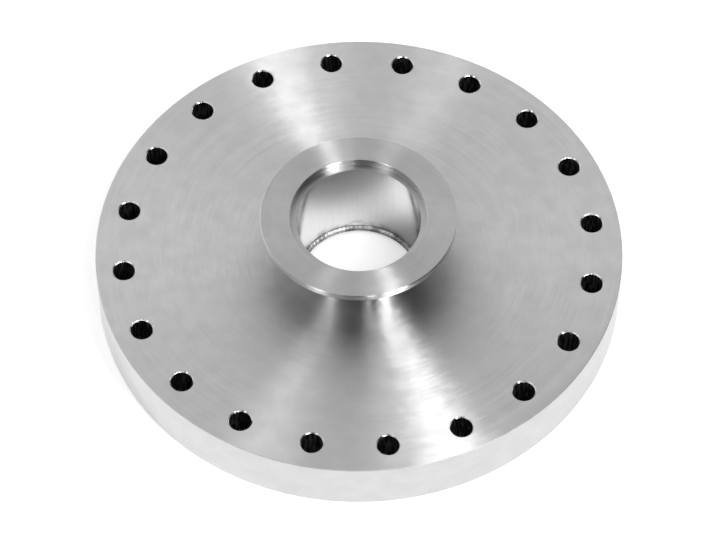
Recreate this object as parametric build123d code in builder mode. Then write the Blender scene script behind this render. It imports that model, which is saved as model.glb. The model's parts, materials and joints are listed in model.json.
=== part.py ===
from build123d import *
from math import radians, tan
import os

# Vacuum adapter: a bolted knife-edge flange with a clamped quick-release stub in its centre.
# Millimetres. The origin is the centre of the bolted flange's sealing face, which the part
# lies on. +Z runs up the bore, out of the stub.

# ---- Bolted flange, nominal bore 160 ----
flange_od = 202.4
flange_thickness = 22.0
flange_edge_chamfer = 0.3        # both edges of the outer wall
bolt_count = 20
bolt_hole = 8.4
bolt_hole_chamfer = 0.4          # both ends of every hole
bolt_circle_inset = 10.7         # bolt circle inside the outer wall

# ---- Knife edge and gasket seat, under the bolted flange ----
gasket_seat_inset = 4.8          # wall that centres the copper gasket, inside the bolt circle
knife_tip_inset = 2.65           # tip inside that wall
knife_tip_depth = 0.65           # tip above the sealing face, so that it can't be knocked
knife_flank = 20.0               # degrees between the outer flank and the sealing face
centre_recess = 2.15             # recessed middle, above the sealing face
leak_groove_width = 2.0          # radial grooves that let test gas reach the gasket
leak_groove_depth = 1.3
leak_groove_count = 2
leak_groove_overrun = 0.3        # how far the cut runs past the wall at each end

# ---- Quick-release stub, nominal bore 50 ----
tube_od = 50.8
tube_wall = 1.65
stub_od = 75.0
stub_height = 20.5               # clamped face above the bolted flange
stub_rim = 2.7                   # straight edge of the clamped flange
stub_taper = 15.0                # degrees, the wedge that the clamp pulls on
stub_edge_chamfer = 0.3
stub_neck_chamfer = 0.8          # eases the corner where the wedge meets the tube
ring_seat = 52.2                 # bore that holds the centring ring
ring_seat_depth = 3.0
ring_seat_chamfer = 0.2

# ---- The tube set in the flange, and its weld ----
tube_clearance = 0.05            # radial gap between the tube and the flange's bore
tube_end_chamfer = 0.3           # inside edge of the tube, which the bead wets
weld_prep = 0.6                  # chamfer round the flange's bore; the tube ends at its top
weld_crown = 1.25                # bead stands in from the tube's bore
weld_crown_drop = 1.0            # fullest part of the bead, below the tube's end
weld_crown_flats = 4             # flats that its round side is made of
weld_depth = 1.6                 # bead stands down from the recessed middle
weld_lap = 1.6                   # bead reaches over the flange, out from the tube's wall
weld_lap_flats = 2

# ---- Sizes that follow from those ----
flange_radius = flange_od / 2
bolt_circle_radius = flange_radius - bolt_circle_inset
seat_radius = bolt_circle_radius - gasket_seat_inset
knife_radius = seat_radius - knife_tip_inset
seat_floor = knife_tip_depth + knife_tip_inset * tan(radians(knife_flank))
tube_radius = tube_od / 2
bore_radius = tube_radius - tube_wall
socket_radius = tube_radius + tube_clearance
tube_end = centre_recess + weld_prep
stub_radius = stub_od / 2
stub_face = flange_thickness + stub_height
stub_rim_low = stub_face - stub_rim
ring_seat_radius = ring_seat / 2
ring_seat_floor = stub_face - ring_seat_depth
neck_top = stub_rim_low - (stub_radius - tube_radius) * tan(radians(stub_taper))

os.makedirs("parts", exist_ok=True)


def corner(profile, radius, height):
    """The corner of a turned profile that is nearest this radius and height."""
    return profile.vertices().sort_by_distance((radius, height))[0]


# ---- Bolted flange: one turned and drilled disc ----
with BuildPart() as cf_flange:
    with BuildSketch(Plane.XZ) as flange_profile:
        with BuildLine():
            Polyline(
                (socket_radius, centre_recess),
                (socket_radius, flange_thickness),
                (flange_radius, flange_thickness),
                (flange_radius, 0),
                (seat_radius, 0),
                (seat_radius, seat_floor),
                (knife_radius, knife_tip_depth),
                (knife_radius, centre_recess),
                close=True,
            )
        make_face()
        chamfer(corner(flange_profile, flange_radius, flange_thickness), flange_edge_chamfer)
        chamfer(corner(flange_profile, flange_radius, 0), flange_edge_chamfer)
        chamfer(corner(flange_profile, socket_radius, centre_recess), weld_prep)
    revolve(axis=Axis.Z)

    # Bolt holes, half a pitch off the X axis
    with BuildSketch(Plane.XY):
        with PolarLocations(bolt_circle_radius, bolt_count, start_angle=180 / bolt_count):
            Circle(bolt_hole / 2)
    extrude(amount=flange_thickness, mode=Mode.SUBTRACT)
    hole_edges = cf_flange.edges(Select.LAST).filter_by(GeomType.CIRCLE)
    chamfer(hole_edges, bolt_hole_chamfer)

    # Leak-check grooves, from the gasket seat out through the wall, between bolt holes
    groove_length = flange_radius - seat_radius
    with BuildSketch(Plane.XY):
        with PolarLocations(seat_radius + groove_length / 2, leak_groove_count):
            Rectangle(groove_length + 2 * leak_groove_overrun, leak_groove_width)
    extrude(amount=leak_groove_depth, mode=Mode.SUBTRACT)

cf_flange.part.label = "cf_flange"
export_step(cf_flange.part, "parts/cf_flange.step")


# ---- Quick-release stub: the tube and its clamped flange, turned as one piece ----
with BuildPart() as kf_stub:
    with BuildSketch(Plane.XZ) as stub_profile:
        with BuildLine():
            Polyline(
                (bore_radius, tube_end),
                (bore_radius, ring_seat_floor),
                (ring_seat_radius, ring_seat_floor),
                (ring_seat_radius, stub_face),
                (stub_radius, stub_face),
                (stub_radius, stub_rim_low),
                (tube_radius, neck_top),
                (tube_radius, tube_end),
                close=True,
            )
        make_face()
        chamfer(corner(stub_profile, bore_radius, tube_end), tube_end_chamfer)
        chamfer(corner(stub_profile, ring_seat_radius, stub_face), ring_seat_chamfer)
        chamfer(corner(stub_profile, stub_radius, stub_face), stub_edge_chamfer)
        chamfer(corner(stub_profile, stub_radius, stub_rim_low), stub_edge_chamfer)
        chamfer(corner(stub_profile, tube_radius, neck_top), stub_neck_chamfer)
    revolve(axis=Axis.Z)

kf_stub.part.label = "kf_stub"
export_step(kf_stub.part, "parts/kf_stub.step")


# ---- Weld bead: rounded, from inside the tube's end out over the edge of the flange's bore ----
with BuildPart() as weld_bead:
    tube_toe = (bore_radius + tube_end_chamfer / 2, tube_end + tube_end_chamfer / 2)
    fullest = (bore_radius - weld_crown, tube_end - weld_crown_drop)
    lowest = (bore_radius, centre_recess - weld_depth)
    flange_toe = (tube_radius + weld_lap, centre_recess)
    with BuildSketch(Plane.XZ):
        with BuildLine():
            crown = ThreePointArc(tube_toe, fullest, lowest, mode=Mode.PRIVATE)
            lap = TangentArc(lowest, flange_toe, tangent=crown % 1, mode=Mode.PRIVATE)
            Polyline(
                *(crown @ (step / weld_crown_flats) for step in range(weld_crown_flats)),
                *(lap @ (step / weld_lap_flats) for step in range(weld_lap_flats)),
                flange_toe,
                (socket_radius + weld_prep, centre_recess),
                (socket_radius, tube_end),
                (bore_radius + tube_end_chamfer, tube_end),
                close=True,
            )
        make_face()
    revolve(axis=Axis.Z)

weld_bead.part.label = "weld_bead"
export_step(weld_bead.part, "parts/weld_bead.step")
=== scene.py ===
import json
from math import cos, pi, radians, sin, tan

import bpy
from mathutils import Matrix, Vector


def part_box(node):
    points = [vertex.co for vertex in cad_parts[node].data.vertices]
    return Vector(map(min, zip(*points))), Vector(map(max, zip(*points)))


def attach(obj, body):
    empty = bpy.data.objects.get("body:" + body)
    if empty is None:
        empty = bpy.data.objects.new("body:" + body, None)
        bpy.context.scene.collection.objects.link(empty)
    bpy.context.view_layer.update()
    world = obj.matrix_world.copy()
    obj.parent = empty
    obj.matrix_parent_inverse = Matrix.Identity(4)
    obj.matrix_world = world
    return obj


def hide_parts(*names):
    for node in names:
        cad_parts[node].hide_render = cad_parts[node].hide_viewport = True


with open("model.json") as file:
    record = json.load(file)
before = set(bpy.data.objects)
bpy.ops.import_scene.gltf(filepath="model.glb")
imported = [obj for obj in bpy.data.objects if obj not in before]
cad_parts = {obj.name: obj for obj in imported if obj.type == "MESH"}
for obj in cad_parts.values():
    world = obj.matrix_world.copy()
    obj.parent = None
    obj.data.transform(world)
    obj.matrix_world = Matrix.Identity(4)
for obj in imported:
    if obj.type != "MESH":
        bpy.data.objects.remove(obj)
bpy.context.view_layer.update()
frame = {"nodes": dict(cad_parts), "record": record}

# ---- Sizes, read from the frame (metres) ----
MM = 0.001
MOUNTS = {mount["name"]: mount for mount in frame["record"]["mounts"]}
FLANGE_LOW, FLANGE_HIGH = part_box("cf_flange")
BEAD_LOW, BEAD_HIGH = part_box("weld_bead")
FLANGE_RADIUS = FLANGE_HIGH.x
BORE_RADIUS = MOUNTS["tube_bore"]["dims"]["r_mm"] * MM
RING_SEAT_RADIUS = MOUNTS["ring_seat"]["dims"]["r_mm"] * MM
BOLT_COUNT = MOUNTS["bolt_circle"]["dims"]["count"]
BOLT_CIRCLE_RADIUS = MOUNTS["bolt_circle"]["dims"]["pcd_mm"] / 2 * MM
BOLT_HOLE_RADIUS = MOUNTS["bolt_circle"]["dims"]["hole_r_mm"] * MM


# ---- Short calls for shader nodes ----
class Graph:
    """A material's or world's node tree."""

    def __init__(self, owner):
        owner.use_nodes = True
        self.tree = owner.node_tree
        self.tree.nodes.clear()

    def node(self, kind, **settings):
        made = self.tree.nodes.new(kind)
        for key, value in settings.items():
            setattr(made, key, value)
        return made

    def put(self, socket, value):
        """Link a socket to another one, or set it to a number, colour or vector."""
        if isinstance(value, bpy.types.NodeSocket):
            self.tree.links.new(value, socket)
        else:
            socket.default_value = value

    def math(self, operation, *values):
        made = self.node("ShaderNodeMath", operation=operation)
        for socket, value in zip(made.inputs, values):
            self.put(socket, value)
        return made.outputs[0]

    def vector(self, operation, *values):
        made = self.node("ShaderNodeVectorMath", operation=operation)
        for socket, value in zip(made.inputs, values):
            self.put(socket, value)
        gives_number = operation in ("LENGTH", "DISTANCE", "DOT_PRODUCT")
        return made.outputs[1 if gives_number else 0]

    def times(self, vector, factor):
        made = self.node("ShaderNodeVectorMath", operation="SCALE")
        self.put(made.inputs[0], vector)
        self.put(made.inputs["Scale"], factor)
        return made.outputs[0]

    def split(self, vector):
        made = self.node("ShaderNodeSeparateXYZ")
        self.put(made.inputs[0], vector)
        return made.outputs

    def join(self, x, y, z):
        made = self.node("ShaderNodeCombineXYZ")
        for socket, value in zip(made.inputs, (x, y, z)):
            self.put(socket, value)
        return made.outputs[0]

    def ramp(self, value, low, high, to_low=0.0, to_high=1.0):
        """A smooth step from to_low, where the value is low, to to_high, where it is high."""
        made = self.node("ShaderNodeMapRange", interpolation_type="SMOOTHSTEP")
        for key, item in (("Value", value), ("From Min", low), ("From Max", high),
                          ("To Min", to_low), ("To Max", to_high)):
            self.put(made.inputs[key], item)
        return made.outputs[0]

    def noise(self, vector, scale, detail=2.0):
        made = self.node("ShaderNodeTexNoise", noise_dimensions="3D")
        for key, item in (("Vector", vector), ("Scale", scale), ("Detail", detail)):
            self.put(made.inputs[key], item)
        return made.outputs[0]

    def shade(self, low, high, factor):
        """A grey between two levels."""
        level = self.math("MULTIPLY_ADD", factor, high - low, low)
        return self.join(level, level, level)

    def bump(self, height, distance):
        made = self.node("ShaderNodeBump")
        self.put(made.inputs["Height"], height)
        self.put(made.inputs["Distance"], distance)
        return made.outputs[0]


# ---- Steel finishes ----
GROOVE_TILT = 0.10               # slope of the turning marks' walls, for a noise from 0 to 1
HEATED = 5.0 * MM                # how far up the tube the weld's heat shows
HEAT_TINT = -0.55                # how much of the tube's colour the heat takes
LINE_DEPTH = 0.01 * MM           # of the lines along the tube
ROUGH_DEPTH = 0.03 * MM          # of the drill marks, and of the weld's skin


class Turned:
    """Directions and marks round the bore's axis, for one material."""

    def __init__(self, g):
        self.g = g
        self.position = g.node("ShaderNodeTexCoord").outputs["Object"]
        self.normal = g.node("ShaderNodeNewGeometry").outputs["Normal"]
        self.around = g.vector("NORMALIZE", g.vector("CROSS_PRODUCT", (0, 0, 1), self.position))
        self.across = g.vector("CROSS_PRODUCT", self.normal, self.around)
        x, y, z = g.split(self.position)
        radius = g.vector("LENGTH", g.join(x, y, 0.0))
        # A lathe's marks run round: they change quickly along this feed and slowly round the turn
        self.feed = g.math("ADD", radius, z)
        self.turn = g.vector("CROSS_PRODUCT", self.around, (0, 0, 1))

    def marks(self, per_metre, round_change, detail=2.0):
        """Noise drawn out round the axis."""
        g = self.g
        x, y, _ = g.split(g.times(self.turn, round_change))
        place = g.join(x, y, g.math("MULTIPLY", self.feed, per_metre))
        return g.noise(place, 1.0, detail)

    def grooved_normal(self, groove, tilt, sway_noise, sway):
        """The normal tipped by the groove's walls, and a little round the turn too."""
        g = self.g
        wall_tilt = g.math("MULTIPLY", g.math("SUBTRACT", groove, 0.5), tilt)
        side_tilt = g.math("MULTIPLY", g.math("SUBTRACT", sway_noise, 0.5), sway)
        tipped = g.vector("ADD", self.normal, g.times(self.across, wall_tilt))
        tipped = g.vector("ADD", tipped, g.times(self.around, side_tilt))
        return g.vector("NORMALIZE", tipped)


def finish_steel(g, colour, roughness, anisotropic, normal, tangent):
    shader = g.node("ShaderNodeBsdfPrincipled")
    g.put(shader.inputs["Base Color"], colour)
    g.put(shader.inputs["Metallic"], 1.0)
    g.put(shader.inputs["Roughness"], roughness)
    g.put(shader.inputs["Anisotropic"], anisotropic)
    g.put(shader.inputs["Normal"], normal)
    g.put(shader.inputs["Tangent"], tangent)
    g.put(g.node("ShaderNodeOutputMaterial").inputs["Surface"], shader.outputs[0])


def turned_steel(name, shade_low, shade_high, sway, anisotropic=1.0, roughness=0.28):
    """Fine turning marks: broad gloss across them and a narrow streak along them."""
    material = bpy.data.materials.new(name)
    g = Graph(material)
    turned = Turned(g)
    groove = turned.marks(per_metre=1500.0, round_change=2.0, detail=0.0)
    bands = turned.marks(per_metre=420.0, round_change=0.6)
    unsteady = turned.marks(per_metre=1300.0, round_change=11.0, detail=1.0)
    cloud = g.noise(turned.position, scale=22.0, detail=3.0)
    mottle = g.noise(turned.position, scale=130.0, detail=3.0)
    mottle = g.ramp(mottle, low=0.3, high=0.7)
    # The mottle gives 0.4 of the tone, and the bands and the cloud 0.3 each
    tone = g.math("MULTIPLY", g.math("ADD", bands, cloud), 0.3)
    tone = g.math("MULTIPLY_ADD", mottle, 0.4, tone)
    colour = g.shade(shade_low, shade_high, tone)
    dull = g.math("MULTIPLY_ADD", mottle, 0.02, roughness)
    normal = turned.grooved_normal(groove, GROOVE_TILT, unsteady, sway)
    finish_steel(g, colour, dull, anisotropic, normal, turned.across)
    return material


def drawn_steel(name):
    """The tube's inside, drawn and pickled: satin, with faint lines along the tube."""
    material = bpy.data.materials.new(name)
    g = Graph(material)
    turned = Turned(g)
    x, y, z = g.split(turned.position)
    across_x, across_y, _ = g.split(turned.turn)
    # The lines change slowly along the tube and quickly round it
    along = g.math("MULTIPLY", turned.feed, 3.0)
    lines = g.noise(g.join(across_x, across_y, along), scale=24.0, detail=3.0)
    cloud = g.noise(turned.position, scale=60.0, detail=3.0)
    # Heat from the weld has darkened the tube's end in patches
    near = g.ramp(z, BEAD_HIGH.z, BEAD_HIGH.z + HEATED, 1.0, 0.0)
    patches = g.ramp(g.noise(turned.position, scale=150.0, detail=3.0), low=0.42, high=0.62)
    tint = g.math("MULTIPLY_ADD", g.math("MULTIPLY", near, patches), HEAT_TINT, 1.0)
    tone = g.math("MULTIPLY", g.math("ADD", lines, cloud), 0.5)
    colour = g.times(g.shade(0.56, 0.70, tone), tint)
    dull = g.math("MULTIPLY_ADD", cloud, 0.12, 0.12)
    finish_steel(g, colour, dull, 0.3, g.bump(lines, LINE_DEPTH), turned.across)
    return material


def drilled_steel(name):
    """The bolt holes' walls: rough drill marks, streaks down them, and a colour far darker than
    the steel's, painted shade of the deep holes.
    """
    material = bpy.data.materials.new(name)
    g = Graph(material)
    turned = Turned(g)
    x, y, z = g.split(turned.position)
    rings_per_metre = 2200.0
    rings = g.noise(g.join(0.0, 0.0, g.math("MULTIPLY", z, rings_per_metre)), scale=1.0)
    # Darker and lighter streaks down the hole's wall
    drawn_out = g.join(x, y, g.math("MULTIPLY", z, 0.15))
    grime = g.ramp(g.noise(drawn_out, scale=1100.0), low=0.40, high=0.70)
    # Painted shade: the wall's colour runs from near black to well below the steel's, standing
    # for the shade inside the deep holes
    colour = g.shade(0.06, 0.45, grime)
    dull = g.math("MULTIPLY_ADD", rings, 0.2, 0.28)
    finish_steel(g, colour, dull, 0.0, g.bump(rings, ROUGH_DEPTH), turned.across)
    return material


def weld_steel(name):
    """The weld: greyer than the tube, and darker in patches."""
    material = bpy.data.materials.new(name)
    g = Graph(material)
    turned = Turned(g)
    cloud = g.noise(turned.position, scale=700.0, detail=3.0)
    patches = g.ramp(g.noise(turned.position, scale=110.0), 0.40, 0.60, 0.40, 1.0)
    colour = g.times(g.shade(0.30, 0.50, cloud), patches)
    dull = g.math("MULTIPLY_ADD", cloud, 0.2, 0.34)
    finish_steel(g, colour, dull, 0.0, g.bump(cloud, ROUGH_DEPTH), turned.across)
    return material


# ---- Which finish each CAD face has ----
SNUG = 0.02 * MM                 # how near a face's centre counts as lying on a wall
EDGE = 0.1 * MM                  # less than the chamfer between two walls
WALL_CHAMFER = 0.35 * MM         # a little more than the chamfer at the edge of the outer wall
UPRIGHT = 0.1                    # a face stands upright where its normal rises less than this
LEVEL = 0.9                      # and lies level where its normal rises more than this


def from_axis(face):
    """Distance of a face's centre from the bore's axis."""
    return face.center.to_2d().length


def is_upright(face):
    return abs(face.normal.z) < UPRIGHT


def in_bolt_hole(face):
    """True on the straight wall of a bolt hole."""
    place = Vector((face.center.x, face.center.y, 0))
    step = 2 * pi / BOLT_COUNT
    # The x axis lies midway between two holes
    turns = (place.to_2d().angle_signed(Vector((1, 0))) / step) - 0.5
    angle = (round(turns) + 0.5) * step
    axis = Vector((cos(angle), sin(angle), 0)) * BOLT_CIRCLE_RADIUS
    return is_upright(face) and (place - axis).length < BOLT_HOLE_RADIUS + SNUG


def in_tube(face):
    """True on the tube's own bore, below the centring ring's seat."""
    return is_upright(face) and from_axis(face) < BORE_RADIUS + SNUG


def on_outer_wall(face):
    """True on the bolted flange's outer wall."""
    return is_upright(face) and from_axis(face) > FLANGE_RADIUS - EDGE


def on_wall_chamfer(face):
    """True on the chamfers at the outer wall's edges."""
    sloped = UPRIGHT < abs(face.normal.z) < LEVEL
    return sloped and from_axis(face) > FLANGE_RADIUS - WALL_CHAMFER


def on_stub_wall(face):
    """True on the walls of the clamped flange: its rim, and the centring ring's seat."""
    return is_upright(face) and from_axis(face) > RING_SEAT_RADIUS - EDGE


def dress(node, material, *others):
    """Give a CAD node its material; others are pairs of a material and where(face)."""
    mesh = frame["nodes"][node].data
    mesh.materials.clear()
    mesh.materials.append(material)
    for other, _ in others:
        mesh.materials.append(other)
    for face in mesh.polygons:
        slots = [slot for slot, (_, where) in enumerate(others, 1) if where(face)]
        face.material_index = slots[0] if slots else 0


def dress_flange():
    turned = turned_steel("flange_turned", 0.54, 0.66, sway=0.06)
    hole = drilled_steel("hole_drilled_shaded")
    wall = turned_steel("wall_turned", 0.55, 0.65, sway=0.06, anisotropic=0.5)
    # Painted shade: the chamfers at the outer wall have a darker colour than the rest of the
    # flange's steel, so their thin edge does not shine
    edge = turned_steel("edge_turned_shaded", 0.44, 0.54, sway=0.06, anisotropic=0.0, roughness=0.50)
    dress("cf_flange", turned,
          (hole, in_bolt_hole), (wall, on_outer_wall), (edge, on_wall_chamfer))


def dress_stub():
    turned = turned_steel("stub_turned", 0.43, 0.53, sway=0.05)
    tube = drawn_steel("tube_drawn")
    wall = turned_steel("rim_turned", 0.50, 0.60, sway=0.05, roughness=0.38)
    dress("kf_stub", turned, (tube, in_tube), (wall, on_stub_wall))


dress_flange()
dress_stub()


# ---- Weld bead, with its ripples ----
WELD_RIPPLES = 84
WELD_STEPS = 8                   # mesh steps along each ripple
WELD_SIDES = 28                  # mesh steps round the bead's section
WELD_TILT = radians(14)          # the section rises outward, on to the flange
WELD_FACE = radians(245)         # middle of its bare face, round the section
WELD_LAP = 0.10 * MM             # how far the weld runs into the steel at both sides
WELD_LIFT = 1.11                 # height of the section's centre, in half heights
RIPPLE_HEIGHT = 0.11 * MM
RIPPLE_LAG = 0.6                 # how far a ripple's ends trail its middle, in ripples
RIPPLE_SINK = 0.75               # share of a ripple that lies inside the plain section


def weld_section(centre, half_width, half_height, angle, grow):
    """Radius and height of one point on the bead's tilted oval section."""
    along = (half_width + grow) * cos(angle)
    over = (half_height + grow) * sin(angle)
    radius = centre[0] + along * cos(WELD_TILT) - over * sin(WELD_TILT)
    height = centre[1] + along * sin(WELD_TILT) + over * cos(WELD_TILT)
    return radius, height


def ripple_growth(turn, angle):
    """How far the weld's skin stands out from the plain section, or in."""
    # The torch never travels quite evenly
    wander = 0.5 * sin(7 * turn) + 0.3 * sin(17 * turn + 1.1)
    lag = RIPPLE_LAG * (1 - cos(angle - WELD_FACE)) / 2
    phase = (WELD_RIPPLES * turn / (2 * pi) + lag + 0.3 * wander) % 1.0
    ripple = phase ** 2 * (3 - 2 * phase) - RIPPLE_SINK
    return RIPPLE_HEIGHT * (ripple + 0.5 * (wander - 0.8))


def weld_points():
    """Points of the weld's mesh, section by section round the axis."""
    bead = frame["nodes"]["weld_bead"].data
    inner = min(vertex.co.to_2d().length for vertex in bead.vertices)
    half_width = (BEAD_HIGH.x - inner) / 2 + WELD_LAP
    half_height = (BEAD_HIGH.z - BEAD_LOW.z) / 2
    centre = ((BEAD_HIGH.x + inner) / 2, BEAD_LOW.z + WELD_LIFT * half_height)
    points = []
    steps = WELD_RIPPLES * WELD_STEPS
    for step in range(steps):
        turn = 2 * pi * step / steps
        for side in range(WELD_SIDES):
            angle = 2 * pi * side / WELD_SIDES
            grow = ripple_growth(turn, angle)
            radius, height = weld_section(centre, half_width, half_height, angle, grow)
            points.append((radius * cos(turn), radius * sin(turn), height))
    return points


def weld_faces():
    """Faces between each section and the next, closed both ways round."""
    faces = []
    steps = WELD_RIPPLES * WELD_STEPS
    for step in range(steps):
        here = step * WELD_SIDES
        there = (step + 1) % steps * WELD_SIDES
        for side in range(WELD_SIDES):
            beside = (side + 1) % WELD_SIDES
            faces.append((here + side, there + side, there + beside, here + beside))
    return faces


def make_weld():
    """The ring of weld metal, with a ripple at each step of the torch."""
    mesh = bpy.data.meshes.new("weld_bead_rippled")
    mesh.from_pydata(weld_points(), [], weld_faces())
    mesh.shade_smooth()
    mesh.materials.append(weld_steel("weld_metal"))
    weld = bpy.data.objects.new("weld_bead_rippled", mesh)
    bpy.context.scene.collection.objects.link(weld)
    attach(weld, "root")
    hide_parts("weld_bead")


make_weld()


# ---- Floor ----
FLOOR_HALF = 6.0
FLOOR_GAP = 0.2 * MM             # under the flange, so that no two faces share a plane
FLOOR_SHADE = 0.6
FLOOR_GLOW = 0.5
GLOW_START = 0.97                # share of the flange's radius where the floor starts to glow
BORE_FADE = (0.9, 1.2)           # shares of the bore's radius between which its glow fades
# Where the light that comes through the bore falls, on the floor's left and far side
POOL = Vector((-0.40, 0.72, 0)) * BORE_RADIUS
POOL_GLOW = 1.35                 # times the floor's own glow
POOL_CORE = 4 * MM
POOL_REACH = 19 * MM


def floor_white():
    """Matt white that glows for the camera and in reflections, except under the flange.

    In the bore the whole floor glows for the camera, but only the pool in reflections.
    """
    material = bpy.data.materials.new("floor_white")
    g = Graph(material)
    diffuse = g.node("ShaderNodeBsdfDiffuse")
    g.put(diffuse.inputs["Color"], (FLOOR_SHADE, FLOOR_SHADE, FLOOR_SHADE, 1))
    place = g.node("ShaderNodeTexCoord").outputs["Object"]
    radius = g.vector("LENGTH", place)
    outside = g.ramp(radius, FLANGE_RADIUS * GLOW_START, FLANGE_RADIUS)
    inside = g.ramp(radius, BORE_RADIUS * BORE_FADE[0], BORE_RADIUS * BORE_FADE[1], 1.0, 0.0)
    from_pool = g.vector("DISTANCE", place, tuple(POOL))
    pool = g.ramp(from_pool, POOL_CORE, POOL_REACH, 1.0, 0.0)
    pool = g.math("MULTIPLY", pool, POOL_GLOW)
    path = g.node("ShaderNodeLightPath").outputs
    mirrored = g.math("MAXIMUM", path["Is Glossy Ray"], path["Is Transmission Ray"])
    mirrored = g.math("MULTIPLY", mirrored, g.math("ADD", outside, pool))
    seen = g.math("MULTIPLY", path["Is Camera Ray"], g.math("MAXIMUM", outside, inside))
    lit = g.math("MAXIMUM", mirrored, seen)
    glow = g.node("ShaderNodeEmission")
    g.put(glow.inputs["Color"], (1, 1, 1, 1))
    g.put(glow.inputs["Strength"], g.math("MULTIPLY", lit, FLOOR_GLOW))
    both = g.node("ShaderNodeAddShader")
    g.put(both.inputs[0], diffuse.outputs[0])
    g.put(both.inputs[1], glow.outputs[0])
    g.put(g.node("ShaderNodeOutputMaterial").inputs["Surface"], both.outputs[0])
    return material


def make_floor():
    mesh = bpy.data.meshes.new("floor")
    signs = ((-1, -1), (1, -1), (1, 1), (-1, 1))
    corners = [(x * FLOOR_HALF, y * FLOOR_HALF, 0) for x, y in signs]
    mesh.from_pydata(corners, [], [(0, 1, 2, 3)])
    floor = bpy.data.objects.new("floor", mesh)
    bpy.context.scene.collection.objects.link(floor)
    floor.location.z = FLANGE_LOW.z - FLOOR_GAP
    mesh.materials.append(floor_white())


make_floor()


# ---- Camera: the photograph's standpoint, above and in front ----
VIEW_AZIMUTH = radians(-87.52)
VIEW_ELEVATION = radians(54.954)
VIEW_ROLL = radians(-0.48)
VIEW_DISTANCE = 1.29964
VIEW_LENS = 170.9
AIM_RIGHT = -0.391 * MM          # the point aimed at, from the middle of the flange's top
AIM_NEAR = 10.953 * MM           # and how much nearer to the camera it lies


def make_camera():
    side = Vector((-sin(VIEW_AZIMUTH), cos(VIEW_AZIMUTH), 0))
    out = Vector((cos(VIEW_AZIMUTH), sin(VIEW_AZIMUTH), 0))
    back = out * cos(VIEW_ELEVATION) + Vector((0, 0, sin(VIEW_ELEVATION)))
    up = back.cross(side)
    right = side * cos(VIEW_ROLL) + up * sin(VIEW_ROLL)
    top = up * cos(VIEW_ROLL) - side * sin(VIEW_ROLL)
    target = side * AIM_RIGHT + out * AIM_NEAR + Vector((0, 0, FLANGE_HIGH.z))
    data = bpy.data.cameras.new("camera")
    data.lens = VIEW_LENS
    data.sensor_width = 36.0
    data.clip_start = 0.05
    data.clip_end = 30.0
    camera = bpy.data.objects.new("camera", data)
    bpy.context.scene.collection.objects.link(camera)
    axes = Matrix((right, top, back)).transposed().to_4x4()
    camera.matrix_world = Matrix.Translation(target + back * VIEW_DISTANCE) @ axes
    bpy.context.scene.camera = camera


make_camera()


# ---- Light ----
LAMP_DISTANCE = 1.5
SWEEP_FULL = radians(25)         # the sweep is brightest up to this elevation
SWEEP_FADED = radians(60)        # and has faded to its upper level at this one
SWEEP_FADE = 0.85                # how much it loses between them
BEHIND_LEVEL = 0.70              # the upper level behind the part
LEFT_LEVEL = 0.16                # and on its left


def direction(azimuth, elevation):
    """Unit vector; azimuth in degrees to the right of the camera, seen from above."""
    a = VIEW_AZIMUTH + radians(azimuth)
    e = radians(elevation)
    return Vector((cos(a) * cos(e), sin(a) * cos(e), sin(e)))


def softbox(name, azimuth, elevation, breadth, rise, brightness):
    """A flat lamp facing the part; breadth and rise are the angles it fills."""
    data = bpy.data.lights.new(name, "AREA")
    data.shape = "RECTANGLE"
    data.size = 2 * LAMP_DISTANCE * tan(radians(breadth / 2))
    data.size_y = 2 * LAMP_DISTANCE * tan(radians(rise / 2))
    data.energy = brightness * pi * data.size * data.size_y
    lamp = bpy.data.objects.new(name, data)
    bpy.context.scene.collection.objects.link(lamp)
    lamp.location = direction(azimuth, elevation) * LAMP_DISTANCE
    lamp.rotation_mode = "QUATERNION"
    lamp.rotation_quaternion = direction(azimuth, elevation).to_track_quat("Z", "Y")


def make_lamps():
    """Azimuth, elevation, breadth and rise in degrees, then the brightness, where 1 is white."""
    softbox("softbox_right", 40.5, 47, 13, 46, 4.9)
    softbox("softbox_right_near", 34.5, 48, 2.5, 44, 10.5)
    softbox("softbox_right_far", 41.5, 48, 2.5, 44, 11.5)
    softbox("softbox_right_high", 45, 59, 8, 26, 14.0)
    softbox("softbox_left", -44, 38, 10, 28, 3.0)
    softbox("softbox_left_high", -46, 58, 8, 26, 6.5)
    softbox("strip_right", 13, 47, 0.8, 46, 27.0)


def make_world():
    """White behind for the camera; a pale sweep behind and to the left lights the part."""
    world = bpy.data.worlds.new("studio")
    bpy.context.scene.world = world
    g = Graph(world)
    x, y, height = g.split(g.node("ShaderNodeTexCoord").outputs["Generated"])
    level_toward = g.vector("NORMALIZE", g.join(x, y, 0.0))
    low = g.ramp(height, sin(SWEEP_FULL), sin(SWEEP_FADED), 1.0, 0.0)
    behind = g.vector("DOT_PRODUCT", level_toward, tuple(direction(180, 0)))
    behind = g.math("MAXIMUM", behind, 0.0)
    left = g.vector("DOT_PRODUCT", level_toward, tuple(direction(-90, 0)))
    left = g.math("MAXIMUM", left, 0.0)
    sweep = g.math("MULTIPLY_ADD", low, SWEEP_FADE, BEHIND_LEVEL)
    sweep = g.math("MULTIPLY", behind, sweep)
    side = g.math("MULTIPLY_ADD", low, SWEEP_FADE, LEFT_LEVEL)
    side = g.math("MULTIPLY", left, side)
    level = g.math("ADD", sweep, side)
    camera_ray = g.node("ShaderNodeLightPath").outputs["Is Camera Ray"]
    kept = g.math("MULTIPLY", level, g.math("SUBTRACT", 1.0, camera_ray))
    background = g.node("ShaderNodeBackground")
    g.put(background.inputs["Color"], (1, 1, 1, 1))
    g.put(background.inputs["Strength"], g.math("ADD", kept, camera_ray))
    g.put(g.node("ShaderNodeOutputWorld").inputs["Surface"], background.outputs[0])


make_lamps()
make_world()
bpy.context.scene.view_settings.view_transform = "Standard"
